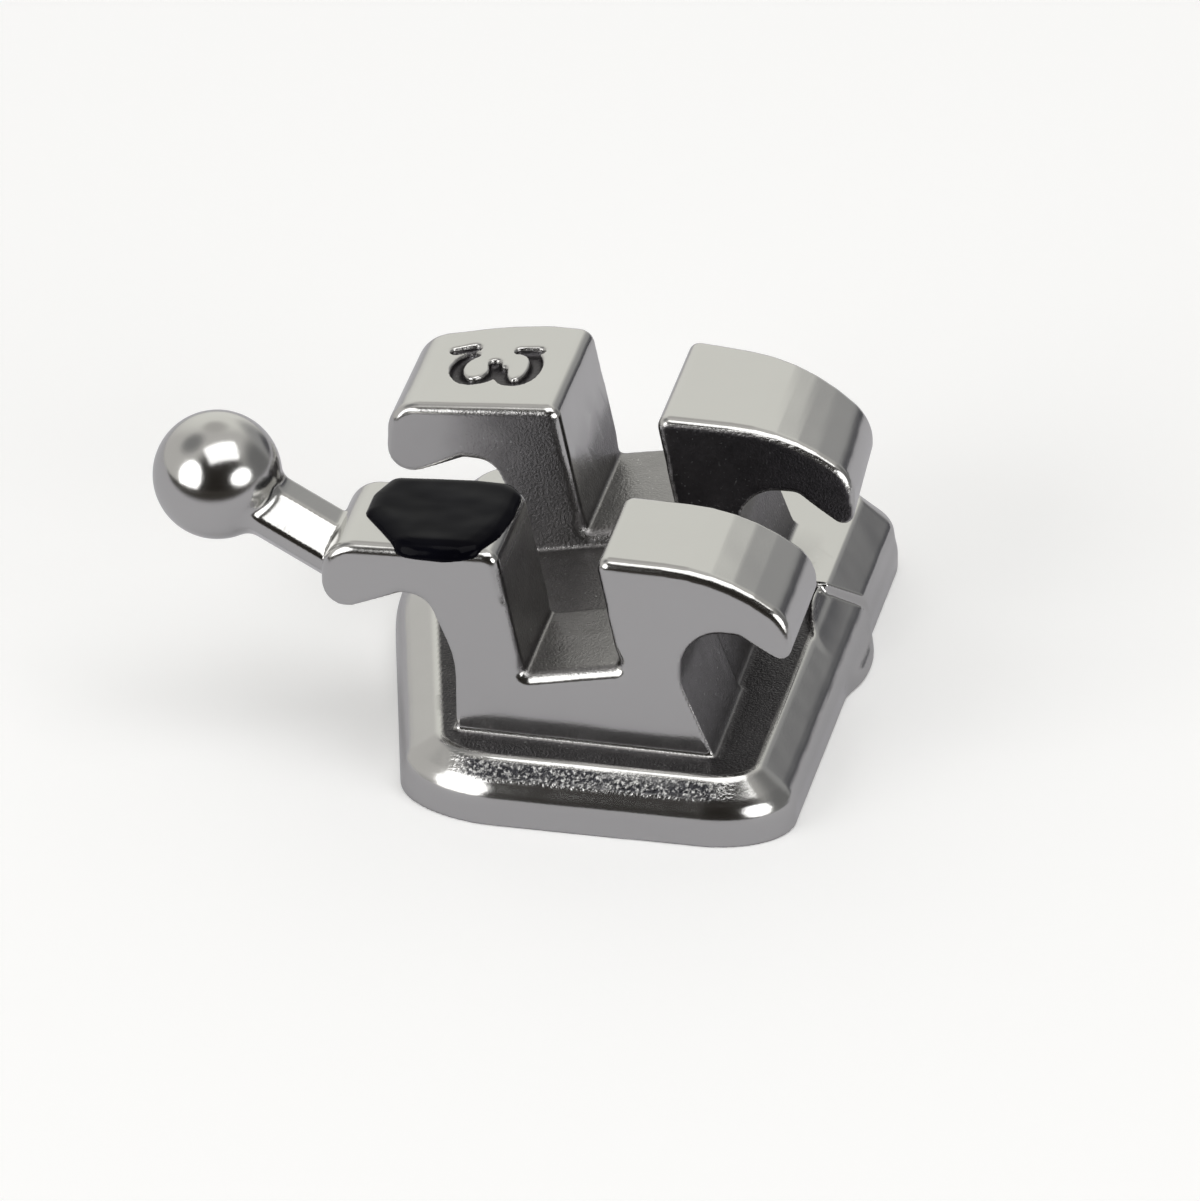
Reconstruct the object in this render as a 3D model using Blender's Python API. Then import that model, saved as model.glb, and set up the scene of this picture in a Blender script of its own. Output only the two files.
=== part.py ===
"""Twin orthodontic bracket with a ball hook, one moulded metal piece, and its enamel mark.

X runs across the archwire slot, with the hook at -X. Y runs along the slot.
Z points away from the tooth, and the bonding side lies on Z = 0.
"""

from math import atan2, ceil, cos, pi, radians, sin, tan

import bmesh
import bpy
from mathutils import Matrix, Vector

MM = 0.001

# Archwire slot
SLOT_WIDTH = 0.56 * MM
SLOT_TILT = radians(12.0)
SLOT_FLOOR_Z = 0.855 * MM
SLOT_CENTRE_X = 0.01 * MM
SLOT_CORNER_ROUND = 0.025 * MM

# Tie wings, as two pairs along the slot
WING_TOP_Z = 1.605 * MM
FRONT_PAIR_DEPTH = 0.80 * MM
BACK_PAIR_DEPTH = 0.92 * MM
PAIR_GAP = 0.89 * MM
GAP_FLOOR_DROP = 0.10 * MM
EDGE_ROUND = 0.05 * MM

# The far face of the back pair is crowned like the tooth
CROWN_RADIUS = 5.56 * MM
CROWN_X = -0.30 * MM
CROWN_RISE = 0.115 * MM
CROWN_STRIP = 0.22 * MM

# One side of the wing section: distances out from the middle, heights and drops from the top.
# The wing reaches out by its undercut's arc, the flat ceiling and the tip.
FRONT_HOOK_SIDE = {
    "mouth_drop": 0.03 * MM,
    "mouth_round": 0.09 * MM,
    "shoulder_drop": 0.075 * MM,
    "shoulder_round": 0.20 * MM,
    "tip_width": 0.455 * MM,
    "tip_corner_z": 1.078 * MM,
    "tip_round": 0.147 * MM,
    "ceiling_z": 1.262 * MM,
    "ceiling_flat": 0.047 * MM,
    "undercut_out": 0.83 * MM,
    "undercut_round": 0.16 * MM,
    "waist_out": 0.668 * MM,
    "waist_z": 0.85 * MM,
    "waist_round": 0.60 * MM,
    "foot_out": 0.665 * MM,
}
BACK_HOOK_SIDE = {
    **FRONT_HOOK_SIDE,
    "mouth_drop": 0.0,
    "shoulder_drop": 0.09 * MM,
    "tip_width": 0.46 * MM,
    "tip_corner_z": 1.012 * MM,
    "tip_round": 0.15 * MM,
    "ceiling_z": 1.238 * MM,
    "ceiling_flat": 0.078 * MM,
    "undercut_out": 0.81 * MM,
}
PLAIN_SIDE = {
    "mouth_drop": 0.0,
    "mouth_round": 0.07 * MM,
    "crown_in": 0.405 * MM,
    "crown_drop": 0.03 * MM,
    "crown_round": 0.35 * MM,
    "shoulder_drop": 0.29 * MM,
    "shoulder_round": 0.25 * MM,
    "tip_width": 0.305 * MM,
    "tip_corner_z": 1.03 * MM,
    "tip_round": 0.065 * MM,
    "ceiling_z": 1.195 * MM,
    "ceiling_flat": 0.096 * MM,
    "undercut_out": 0.652 * MM,
    "undercut_round": 0.235 * MM,
    "waist_out": 0.648 * MM,
    "waist_z": 0.86 * MM,
    "waist_round": 0.25 * MM,
    "foot_out": 0.875 * MM,
}
CEILING_ROUND = 0.08 * MM

# Bonding pad, seen from above: its edges and the rounding of its corners
PAD_FRONT_OVERHANG = 0.357 * MM
PAD_FRONT_SKEW = 0.02 * MM
PAD_BACK_OVERHANG = 0.61 * MM
PAD_BACK_SKEW = 0.115 * MM
PAD_RIGHT_X = 1.33 * MM
PAD_LEFT_FRONT_X = -0.925 * MM
PAD_LEFT_BULGE_X = -1.42 * MM
PAD_LEFT_BULGE_Y = 0.44 * MM
PAD_LEFT_BACK_X = -1.36 * MM
PAD_CORNER_ROUND = 0.38 * MM
PAD_BULGE_ROUND = 0.50 * MM

# Bonding pad, in section
RIM_HEIGHT = 0.17 * MM
FLANGE_WIDTH = 0.175 * MM
FLANGE_WIDTH_SIDES = 0.23 * MM
FLANGE_RISE = 0.215 * MM
SHELF_Z = RIM_HEIGHT + FLANGE_RISE

# Behind a step the pad is thicker, and wider at the plain side
STEP_Y = 0.68 * MM
STEP_HEIGHT = 0.08 * MM
STEP_RUN = 0.01 * MM
STEP_WIDTH = 0.035 * MM
STEP_WIDTH_RUN = 0.40 * MM

# Small lobe on the rim
LOBE_Y = 0.52 * MM
LOBE_LENGTH = 0.76 * MM
LOBE_WIDTH = 0.085 * MM
LOBE_SINK = 0.07 * MM
LOBE_EDGE_GAP = 0.01 * MM

# Hook
BALL_RADIUS = 0.372 * MM
BALL_OUT = 0.707 * MM
BALL_RISE = 0.387 * MM
STEM_Z = 1.29 * MM
STEM_WIDTH = 0.41 * MM
STEM_THICKNESS = 0.33 * MM
STEM_CHAMFER = 0.12 * MM
STEM_ROOT = 0.25 * MM

# Retention field on the bonding side
FIELD_INSET = 0.24 * MM
FIELD_DEPTH = 0.07 * MM
STUD_PITCH = 0.34 * MM
STUD_TOP_RADIUS = 0.085 * MM
STUD_ROOT_RADIUS = 0.060 * MM
STUD_SIDES = 8
STUD_CLEAR = 1.4

# Enamel mark on the top of the front wing at the hook side
MARK_THICKNESS = 0.045 * MM
MARK_GAP = 0.004 * MM
MARK_SLOT_MARGIN = 0.08 * MM
MARK_LENGTH = 0.72 * MM
MARK_EDGE_MARGIN = 0.05 * MM
MARK_CORNER_CUT = 0.20 * MM
MARK_CORNER_ROUND = 0.06 * MM

ARC_STEP = radians(15)
SINK = 0.06 * MM

PAIRS_LENGTH = FRONT_PAIR_DEPTH + PAIR_GAP + BACK_PAIR_DEPTH
FRONT_FACE_Y = -PAIRS_LENGTH / 2
BACK_FACE_Y = PAIRS_LENGTH / 2
FRONT_PAIR_Y = FRONT_FACE_Y + FRONT_PAIR_DEPTH / 2
BACK_PAIR_Y = BACK_FACE_Y - BACK_PAIR_DEPTH / 2


def clear_scene():
    for old in list(bpy.data.objects):
        bpy.data.objects.remove(old, do_unlink=True)


def new_collection(name, helper=False):
    made = bpy.data.collections.new(name)
    bpy.context.scene.collection.children.link(made)
    made.hide_render = helper
    return made


def metal_material():
    """Polished stainless steel."""
    made = bpy.data.materials.new("polished_steel")
    made.use_nodes = True
    shader = made.node_tree.nodes["Principled BSDF"]
    shader.inputs["Base Color"].default_value = (0.56, 0.55, 0.54, 1.0)
    shader.inputs["Metallic"].default_value = 1.0
    shader.inputs["Roughness"].default_value = 0.18
    return made


def enamel_material():
    """Glossy black identification enamel."""
    made = bpy.data.materials.new("black_enamel")
    made.use_nodes = True
    shader = made.node_tree.nodes["Principled BSDF"]
    shader.inputs["Base Color"].default_value = (0.006, 0.006, 0.009, 1.0)
    shader.inputs["Metallic"].default_value = 0.0
    shader.inputs["Roughness"].default_value = 0.16
    return made


def rounded_outline(corners):
    """Points of a closed outline, where each corner (x, y, radius) becomes an arc."""
    points = []
    for i, (x, y, radius) in enumerate(corners):
        here = Vector((x, y))
        back = (Vector(corners[i - 1][:2]) - here).normalized()
        ahead = (Vector(corners[(i + 1) % len(corners)][:2]) - here).normalized()
        half = back.angle(ahead) / 2
        if radius <= 0 or half > radians(89):
            points.append(here)
            continue
        centre = here + (back + ahead).normalized() * radius / sin(half)
        start = here + back * radius / tan(half) - centre
        turn = pi - 2 * half
        if back.cross(ahead) > 0:
            turn = -turn
        steps = max(1, ceil(abs(turn) / ARC_STEP - 0.01))
        for k in range(steps + 1):
            angle = turn * k / steps
            spin = Matrix.Rotation(angle, 2)
            points.append(centre + spin @ start)
    return points


def object_from_bmesh(name, shape, collection):
    bmesh.ops.recalc_face_normals(shape, faces=shape.faces)
    mesh = bpy.data.meshes.new(name)
    shape.to_mesh(mesh)
    shape.free()
    mesh.shade_smooth()
    mesh.set_sharp_from_angle(angle=radians(35))
    made = bpy.data.objects.new(name, mesh)
    collection.objects.link(made)
    return made


def section_prism(name, outline, y_middle, depth, edge_round, collection):
    """An outline in the XZ plane given a depth along Y, with its two rims rounded."""
    curve = bpy.data.curves.new(name, "CURVE")
    curve.dimensions = "2D"
    curve.fill_mode = "BOTH"
    curve.extrude = depth / 2 - edge_round
    curve.bevel_depth = edge_round
    curve.bevel_resolution = 1
    curve.offset = -edge_round
    spline = curve.splines.new("POLY")
    spline.points.add(len(outline) - 1)
    for point, (x, z) in zip(spline.points, outline):
        point.co = (x, z, 0, 1)
    spline.use_cyclic_u = True
    drawn = bpy.data.objects.new(name + "_outline", curve)
    collection.objects.link(drawn)
    drawn.matrix_world = Matrix.Translation((0, y_middle, 0)) @ Matrix.Rotation(pi / 2, 4, "X")
    bpy.context.view_layer.update()
    graph = bpy.context.evaluated_depsgraph_get()
    mesh = bpy.data.meshes.new_from_object(drawn.evaluated_get(graph))
    shape = bmesh.new()
    shape.from_mesh(mesh)
    bmesh.ops.remove_doubles(shape, verts=shape.verts, dist=0.001 * MM)
    shape.transform(drawn.matrix_world)
    bpy.data.objects.remove(drawn, do_unlink=True)
    bpy.data.meshes.remove(mesh)
    return object_from_bmesh(name, shape, collection)


def skin(shape, rings):
    """Rows of vertices from rings of equal length, joined by faces, with the first row capped."""
    rows = [[shape.verts.new(point) for point in ring] for ring in rings]
    for low, high in zip(rows, rows[1:]):
        for i in range(len(low)):
            j = (i + 1) % len(low)
            shape.faces.new((low[i], low[j], high[j], high[i]))
    shape.faces.new(rows[0])
    return rows


def loft(name, rings, collection):
    """A closed body through rings of equal length, capped at both ends."""
    shape = bmesh.new()
    rows = skin(shape, rings)
    shape.faces.new(rows[-1])
    return object_from_bmesh(name, shape, collection)


def inset_corners(corners, insets):
    """Corners of a counter-clockwise outline whose edge i, from corner i on, moves inwards."""
    count = len(corners)
    places = [Vector(corner[:2]) for corner in corners]
    lines = []
    for i, inset in enumerate(insets):
        along = (places[(i + 1) % count] - places[i]).normalized()
        lines.append((places[i] + Vector((-along.y, along.x)) * inset, along))
    moved = []
    for i, (_, _, radius) in enumerate(corners):
        before, along_before = lines[i - 1]
        here, along_here = lines[i]
        reach = (here - before).cross(along_here) / along_before.cross(along_here)
        place = before + along_before * reach
        kept = max(radius - max(insets[i - 1], insets[i]), radius / 4)
        moved.append((place.x, place.y, kept))
    return moved


def slot_corner(side, height):
    """Where a slot wall (side -1 or +1) stands at a height above the bonding side."""
    across = Vector((cos(SLOT_TILT), sin(SLOT_TILT)))
    up = Vector((-sin(SLOT_TILT), cos(SLOT_TILT)))
    floor = Vector((SLOT_CENTRE_X, SLOT_FLOOR_Z)) + across * side * SLOT_WIDTH / 2
    if height is None:
        return floor
    return floor + up * (height - floor.y) / up.y


def ceiling_apex(sizes):
    """How far out the ceiling of the undercut ends: after its arc and its flat."""
    fall = sizes["ceiling_z"] - sizes["waist_z"]
    wall_angle = atan2(fall, sizes["waist_out"] - sizes["undercut_out"])
    arc = sizes["undercut_round"] / tan(wall_angle / 2)
    return sizes["undercut_out"] + arc + sizes["ceiling_flat"]


def wing_reach(sizes):
    return ceiling_apex(sizes) + sizes["tip_width"]


def top_corners(side, sizes):
    """The slot mouth, the crown where the wing has one, and the shoulder."""
    reach = wing_reach(sizes)
    mouth = slot_corner(side, WING_TOP_Z - sizes["mouth_drop"])
    corners = [(mouth.x, mouth.y, sizes["mouth_round"])]
    if "crown_in" in sizes:
        crown_x = side * (reach - sizes["crown_in"])
        corners.append((crown_x, WING_TOP_Z - sizes["crown_drop"], sizes["crown_round"]))
    shoulder_z = WING_TOP_Z - sizes["shoulder_drop"]
    corners.append((side * reach, shoulder_z, sizes["shoulder_round"]))
    return corners


def wing_corners(side, sizes):
    """Corners of one half of the wing section, from the slot mouth round to the foot."""
    under = [
        (side * wing_reach(sizes), sizes["tip_corner_z"], sizes["tip_round"]),
        (side * ceiling_apex(sizes), sizes["ceiling_z"], CEILING_ROUND),
        (side * sizes["undercut_out"], sizes["ceiling_z"], sizes["undercut_round"]),
        (side * sizes["waist_out"], sizes["waist_z"], sizes["waist_round"]),
        (side * sizes["foot_out"], SHELF_Z - SINK, 0),
    ]
    return top_corners(side, sizes) + under


def pair_outline(hook_sizes):
    """The section of a wing pair, counter-clockwise from the plain side's foot."""
    hook = wing_corners(-1, hook_sizes)
    plain = wing_corners(1, PLAIN_SIDE)
    floor_hook = slot_corner(-1, None)
    floor_plain = slot_corner(1, None)
    floor = [
        (floor_hook.x, floor_hook.y, SLOT_CORNER_ROUND),
        (floor_plain.x, floor_plain.y, SLOT_CORNER_ROUND),
    ]
    clockwise = hook[::-1] + floor + plain
    return rounded_outline(clockwise[::-1])


def crown_far_face(body):
    """Moves the far face of the back pair onto a wide arc seen from above."""
    shape = bmesh.new()
    shape.from_mesh(body.data)
    reach = wing_reach(BACK_HOOK_SIDE)
    strips = ceil(2 * reach / CROWN_STRIP)
    for k in range(1, strips):
        bmesh.ops.bisect_plane(
            shape,
            geom=shape.verts[:] + shape.edges[:] + shape.faces[:],
            plane_co=(reach * (2 * k / strips - 1), 0, 0),
            plane_no=(1, 0, 0),
        )
    for vert in shape.verts:
        share = (vert.co.y - BACK_FACE_Y + BACK_PAIR_DEPTH) / BACK_PAIR_DEPTH
        rise = CROWN_RISE - (vert.co.x - CROWN_X) ** 2 / (2 * CROWN_RADIUS)
        vert.co.y += share * rise
    shape.to_mesh(body.data)
    shape.free()


def bridge_outline():
    """The section of the low bridge that joins the two pairs under the slot."""
    low = SHELF_Z - SINK
    drop = GAP_FLOOR_DROP
    left, right = slot_corner(-1, None), slot_corner(1, None)
    slope = tan(SLOT_TILT)
    top_left = left.y - drop - (FRONT_HOOK_SIDE["waist_out"] + left.x) * slope
    top_right = right.y - drop + (PLAIN_SIDE["waist_out"] - right.x) * slope
    return rounded_outline(
        [
            (-FRONT_HOOK_SIDE["foot_out"], low, 0),
            (PLAIN_SIDE["foot_out"], low, 0),
            (PLAIN_SIDE["waist_out"], top_right, EDGE_ROUND * 2),
            (-FRONT_HOOK_SIDE["waist_out"], top_left, EDGE_ROUND * 2),
        ]
    )


def pad_corners():
    front = FRONT_FACE_Y - PAD_FRONT_OVERHANG
    back = BACK_FACE_Y + PAD_BACK_OVERHANG
    return [
        (PAD_LEFT_FRONT_X, front - PAD_FRONT_SKEW, PAD_CORNER_ROUND),
        (PAD_RIGHT_X, front + PAD_FRONT_SKEW, PAD_CORNER_ROUND),
        (PAD_RIGHT_X, back + PAD_BACK_SKEW, PAD_CORNER_ROUND),
        (PAD_LEFT_BACK_X, back - PAD_BACK_SKEW, PAD_CORNER_ROUND),
        (PAD_LEFT_BULGE_X, PAD_LEFT_BULGE_Y, PAD_BULGE_ROUND),
    ]


def pad_outline(inset, wider=1.0):
    """The pad's edge from above, drawn in by an inset that may be wider at its two sides."""
    insets = [inset, inset * wider, inset, inset * wider, inset * wider]
    return rounded_outline(inset_corners(pad_corners(), insets))


def crosses_step(here, after):
    return min(here.y, after.y) < STEP_Y < max(here.y, after.y)


def step_out(x):
    """How much wider the pad is behind the step, all of it at the plain side's edge."""
    share = 1 - (PAD_RIGHT_X - x) / STEP_WIDTH_RUN
    return STEP_WIDTH * min(max(share, 0), 1)


def pad_ring(inset, height, land):
    """A ring of the pad whose points behind the step stand higher and further out."""
    wider = FLANGE_WIDTH_SIDES / FLANGE_WIDTH
    outline = pad_outline(inset, wider)
    edge = pad_outline(0)
    ring = []
    for i, here in enumerate(outline):
        after = outline[(i + 1) % len(outline)]
        behind = edge[i].y > STEP_Y
        ring.append((here.x + step_out(here.x) * behind, here.y, height + land * behind))
        if not crosses_step(edge[i], edge[(i + 1) % len(edge)]):
            continue
        rise = after.y - here.y
        for share in (-0.5, 0.5):
            level = STEP_Y + share * STEP_RUN * (1 if rise > 0 else -1)
            spot = here.lerp(after, (level - here.y) / rise)
            behind = level > STEP_Y
            ring.append((spot.x + step_out(spot.x) * behind, spot.y, height + land * behind))
    return ring


def make_pad(collection):
    """Rim, sloping flange and a shelf that rises by a step, as one lofted body."""
    rings = [
        pad_ring(0, 0, 0),
        pad_ring(0, RIM_HEIGHT, STEP_HEIGHT),
        pad_ring(FLANGE_WIDTH, SHELF_Z, STEP_HEIGHT),
    ]
    shape = bmesh.new()
    top = skin(shape, rings)[-1]
    behind = [vert.co.y > STEP_Y for vert in top]
    shape.faces.new([vert for vert, back in zip(top, behind) if not back])
    shape.faces.new([vert for vert, back in zip(top, behind) if back])
    wall = []
    for i, vert in enumerate(top):
        j = (i + 1) % len(top)
        if behind[i] != behind[j]:
            wall += [vert, top[j]]
    shape.faces.new(wall)
    return object_from_bmesh("bracket", shape, collection)


def make_lobe(collection):
    """The small lobe that stands out of the rim, an upright cylinder drawn out along Y."""
    shape = bmesh.new()
    height = RIM_HEIGHT - LOBE_EDGE_GAP
    bmesh.ops.create_cone(
        shape, cap_ends=True, segments=28, radius1=0.5, radius2=0.5, depth=1
    )
    width = 2 * (LOBE_WIDTH + LOBE_SINK)
    bmesh.ops.scale(shape, vec=(width, LOBE_LENGTH, height), verts=shape.verts)
    place = (PAD_RIGHT_X - LOBE_SINK, LOBE_Y, height / 2)
    bmesh.ops.translate(shape, vec=place, verts=shape.verts)
    return object_from_bmesh("rim_lobe", shape, collection)


def ball_centre():
    nose = wing_reach(FRONT_HOOK_SIDE)
    return Vector((-nose - BALL_OUT, FRONT_PAIR_Y, STEM_Z + BALL_RISE))


def make_ball(collection):
    shape = bmesh.new()
    bmesh.ops.create_uvsphere(shape, u_segments=32, v_segments=18, radius=BALL_RADIUS)
    bmesh.ops.translate(shape, vec=ball_centre(), verts=shape.verts)
    return object_from_bmesh("hook_ball", shape, collection)


def make_stem(collection):
    """A chamfered bar from the ball's centre into the nose of the wing."""
    start = ball_centre()
    nose = Vector((-wing_reach(FRONT_HOOK_SIDE), FRONT_PAIR_Y, STEM_Z))
    along = (nose - start).normalized()
    end = nose + along * STEM_ROOT
    length = (end - start).length
    shape = bmesh.new()
    bmesh.ops.create_cube(shape, size=1)
    bmesh.ops.scale(shape, vec=(length, STEM_WIDTH, STEM_THICKNESS), verts=shape.verts)
    edges = [e for e in shape.edges if abs(e.verts[0].co.x - e.verts[1].co.x) > length / 2]
    bmesh.ops.bevel(shape, geom=edges, offset=STEM_CHAMFER, segments=1, affect="EDGES")
    tilt = atan2(-along.z, along.x)
    turn = Matrix.Rotation(tilt, 4, "Y")
    shape.transform(Matrix.Translation((start + end) / 2) @ turn)
    return object_from_bmesh("hook_stem", shape, collection)


def make_field(collection):
    """The shallow recess of the bonding side."""
    rings = []
    for height in (-FIELD_DEPTH, FIELD_DEPTH):
        outline = pad_outline(FIELD_INSET)
        rings.append([(point.x, point.y, height) for point in outline])
    return loft("retention_field", rings, collection)


def inside(point, outline, margin):
    """True where a point lies inside a convex counter-clockwise outline by a margin."""
    for here, after in zip(outline, outline[1:] + outline[:1]):
        edge = after - here
        if edge.length and edge.cross(point - here) / edge.length < margin:
            return False
    return True


def make_studs(collection):
    """Dovetail studs on a square grid over the recess, wider towards the tooth."""
    outline = pad_outline(FIELD_INSET)
    clear = STUD_TOP_RADIUS * STUD_CLEAR
    rows = ceil(PAIRS_LENGTH / STUD_PITCH) + 2
    shape = bmesh.new()
    for i in range(-rows, rows + 1):
        for j in range(-rows, rows + 1):
            spot = Vector((i * STUD_PITCH, j * STUD_PITCH))
            if not inside(spot, outline, clear):
                continue
            height = FIELD_DEPTH + SINK / 2
            made = bmesh.ops.create_cone(
                shape,
                cap_ends=True,
                segments=STUD_SIDES,
                radius1=STUD_TOP_RADIUS,
                radius2=STUD_ROOT_RADIUS,
                depth=height,
            )
            place = (spot.x, spot.y, height / 2)
            bmesh.ops.translate(shape, vec=place, verts=made["verts"])
    return object_from_bmesh("retention_studs", shape, collection)


def wing_top_height(x):
    """Height of the flat top of the front wing at the hook side, over a point x."""
    sizes = FRONT_HOOK_SIDE
    mouth = slot_corner(-1, WING_TOP_Z - sizes["mouth_drop"])
    share = (mouth.x - x) / (mouth.x + wing_reach(sizes))
    fall = sizes["shoulder_drop"] - sizes["mouth_drop"]
    return mouth.y - fall * share


def make_mark(collection):
    """A flat drop of enamel with clipped corners, lying on the top of the wing."""
    right = slot_corner(-1, WING_TOP_Z).x - MARK_SLOT_MARGIN
    left = right - MARK_LENGTH
    near = FRONT_FACE_Y + MARK_EDGE_MARGIN
    far = FRONT_FACE_Y + FRONT_PAIR_DEPTH - MARK_EDGE_MARGIN
    cut = MARK_CORNER_CUT
    bend = MARK_CORNER_ROUND
    corners = [
        (left + cut, near, bend),
        (right - cut, near, bend),
        (right, near + cut, bend),
        (right, far, bend),
        (left + cut / 2, far, bend),
        (left, (near + far) / 2, bend),
    ]
    levels = [
        (0.4 * MARK_THICKNESS, 0),
        (0, 0.35 * MARK_THICKNESS),
        (0.3 * MARK_THICKNESS, 0.75 * MARK_THICKNESS),
        (1.1 * MARK_THICKNESS, MARK_THICKNESS),
    ]
    rings = []
    for inset, height in levels:
        outline = rounded_outline(inset_corners(corners, [inset] * len(corners)))
        rings.append(
            [(p.x, p.y, wing_top_height(p.x) + MARK_GAP + height) for p in outline]
        )
    return loft("id_mark", rings, collection)


def join(body, other, operation):
    """Adds or takes away a helper body with an exact Boolean."""
    step = body.modifiers.new(other.name, "BOOLEAN")
    step.operation = operation
    step.solver = "EXACT"
    step.object = other
    other.hide_render = True
    other.display_type = "WIRE"


def main():
    clear_scene()
    parts = new_collection("orthodontic_bracket")
    helpers = new_collection("cutters", helper=True)
    body = make_pad(parts)
    body.data.materials.append(metal_material())
    join(body, make_field(helpers), "DIFFERENCE")
    join(body, make_studs(helpers), "UNION")
    front_section = pair_outline(FRONT_HOOK_SIDE)
    back_section = pair_outline(BACK_HOOK_SIDE)
    front = section_prism(
        "front_pair", front_section, FRONT_PAIR_Y, FRONT_PAIR_DEPTH, EDGE_ROUND, helpers
    )
    back = section_prism(
        "back_pair", back_section, BACK_PAIR_Y, BACK_PAIR_DEPTH, EDGE_ROUND, helpers
    )
    crown_far_face(back)
    bridge_y = (FRONT_PAIR_DEPTH - BACK_PAIR_DEPTH) / 2
    bridge_length = PAIR_GAP + 4 * EDGE_ROUND
    bridge = section_prism(
        "bridge", bridge_outline(), bridge_y, bridge_length, EDGE_ROUND / 4, helpers
    )
    for solid in (bridge, front, back):
        join(body, solid, "UNION")
    for make in (make_lobe, make_stem, make_ball):
        join(body, make(helpers), "UNION")
    mark = make_mark(parts)
    mark.data.materials.append(enamel_material())


main()
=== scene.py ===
# %% [markdown]
# # A twin orthodontic bracket with a ball hook
# The real thing is under 4 mm long: one piece of stainless steel, moulded from powder, sintered
# and tumbled until its outer faces shine. A drop of black enamel marks one wing. This lesson
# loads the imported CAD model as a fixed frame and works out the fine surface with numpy.

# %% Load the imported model
from math import ceil, cos, radians, sin, tan

import bpy
import numpy as np
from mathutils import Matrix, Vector


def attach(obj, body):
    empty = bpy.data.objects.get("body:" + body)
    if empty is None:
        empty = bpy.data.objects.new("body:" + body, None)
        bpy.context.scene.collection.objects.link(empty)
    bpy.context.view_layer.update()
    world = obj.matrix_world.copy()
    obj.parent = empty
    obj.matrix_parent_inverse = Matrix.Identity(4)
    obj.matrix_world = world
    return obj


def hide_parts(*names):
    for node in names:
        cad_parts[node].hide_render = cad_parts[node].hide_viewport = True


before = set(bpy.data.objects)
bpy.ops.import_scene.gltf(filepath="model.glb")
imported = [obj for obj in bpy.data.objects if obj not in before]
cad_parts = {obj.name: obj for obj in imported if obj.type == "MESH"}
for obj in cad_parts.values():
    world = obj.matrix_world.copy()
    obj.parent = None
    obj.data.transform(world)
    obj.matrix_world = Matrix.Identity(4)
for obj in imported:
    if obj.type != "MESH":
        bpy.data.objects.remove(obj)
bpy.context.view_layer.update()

MM = 0.001

# %% [markdown]
# ## Camera
# The bracket was photographed with a long macro lens from 30 degrees above the table and
# 12 degrees round to the side away from the hook. The distance and the lens follow from how
# much smaller the back wing pair looks than the front pair, although both are equally wide.

# %% Camera
AZIMUTH = radians(12.0)
ELEVATION = radians(30.0)
DISTANCE = 57.0 * MM
PIXELS_PER_MM = 173.0
IMAGE_WIDTH = 1200
AIM = Vector((0.0, -0.455, 0.845)) * MM
SENSOR = 36.0

towards = Vector(
    (sin(AZIMUTH) * cos(ELEVATION), -cos(AZIMUTH) * cos(ELEVATION), sin(ELEVATION))
)
camera_data = bpy.data.cameras.new("camera")
camera_data.sensor_width = SENSOR
camera_data.lens = SENSOR * PIXELS_PER_MM * (DISTANCE / MM) / IMAGE_WIDTH
camera_data.clip_start = 1 * MM
camera_data.clip_end = 10.0
camera = bpy.data.objects.new("camera", camera_data)
bpy.context.scene.collection.objects.link(camera)
camera.location = AIM + towards * DISTANCE
camera.rotation_euler = (-towards).to_track_quat("-Z", "Y").to_euler()
bpy.context.scene.camera = camera
print("lens, mm:", round(camera_data.lens, 1))

# %% [markdown]
# ## A solid as a distance field
# A moulded and tumbled body has no sharp edge: each wall runs into the next through a small
# rounding. Bevels and Booleans could make it, but they leave seams where the hook, the wings
# and the pad meet. Here the solid is a function of three coordinates instead: its value is
# the distance to the surface, negative inside. Two bodies join by taking the smaller value,
# blended where both are near, and that blend is the fillet. Lengths are in millimetres.

# %% Outlines and distances
ARC_STEP = radians(8)


def rounded(corners):
    """A closed outline: each corner (u, v, radius) is replaced by the arc of that radius that
    touches both of its edges."""
    points = []
    places = [np.array(corner[:2], float) for corner in corners]
    for i, (u, v, radius) in enumerate(corners):
        here = places[i]
        back = places[i - 1] - here
        ahead = places[(i + 1) % len(corners)] - here
        back /= np.linalg.norm(back)
        ahead /= np.linalg.norm(ahead)
        half = np.arccos(np.clip(back @ ahead, -1, 1)) / 2
        if radius == 0:
            points.append(here[None])
            continue
        middle = (back + ahead) / np.linalg.norm(back + ahead)
        centre = here + middle * radius / sin(half)
        turn = np.pi - 2 * half
        steps = max(2, ceil(turn / ARC_STEP))
        side = -np.sign(back[0] * ahead[1] - back[1] * ahead[0])
        angles = side * turn * (np.arange(steps + 1) / steps)
        start = here + back * radius / tan(half) - centre
        across = np.array([-start[1], start[0]])
        points.append(centre + np.cos(angles)[:, None] * start + np.sin(angles)[:, None] * across)
    return np.concatenate(points)


def segment_distance(a, b, u, v):
    """Distance from points (u, v) to the segment a to b: the offset from the nearest point on
    it, whose place along the segment is the projection held between 0 and 1."""
    edge = b - a
    du, dv = u - a[0], v - a[1]
    along = np.clip((du * edge[0] + dv * edge[1]) / (edge @ edge), 0, 1)
    return np.hypot(du - along * edge[0], dv - along * edge[1])


def outline_distance(outline, u, v):
    """Signed distance to a closed outline: the least distance to its edges, negative where a
    level ray to the right crosses an odd number of them."""
    nearest = np.full(np.broadcast(u, v).shape, np.inf, np.float32)
    inside = np.zeros(nearest.shape, bool)
    for a, b in zip(outline, np.roll(outline, -1, axis=0)):
        if np.allclose(a, b):
            continue
        nearest = np.minimum(nearest, segment_distance(a, b, u, v))
        if a[1] != b[1]:
            crosses = (a[1] > v) != (b[1] > v)
            inside ^= crosses & (u < (b[0] - a[0]) * (v - a[1]) / (b[1] - a[1]) + a[0])
    return np.where(inside, -nearest, nearest).astype(np.float32)


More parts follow.
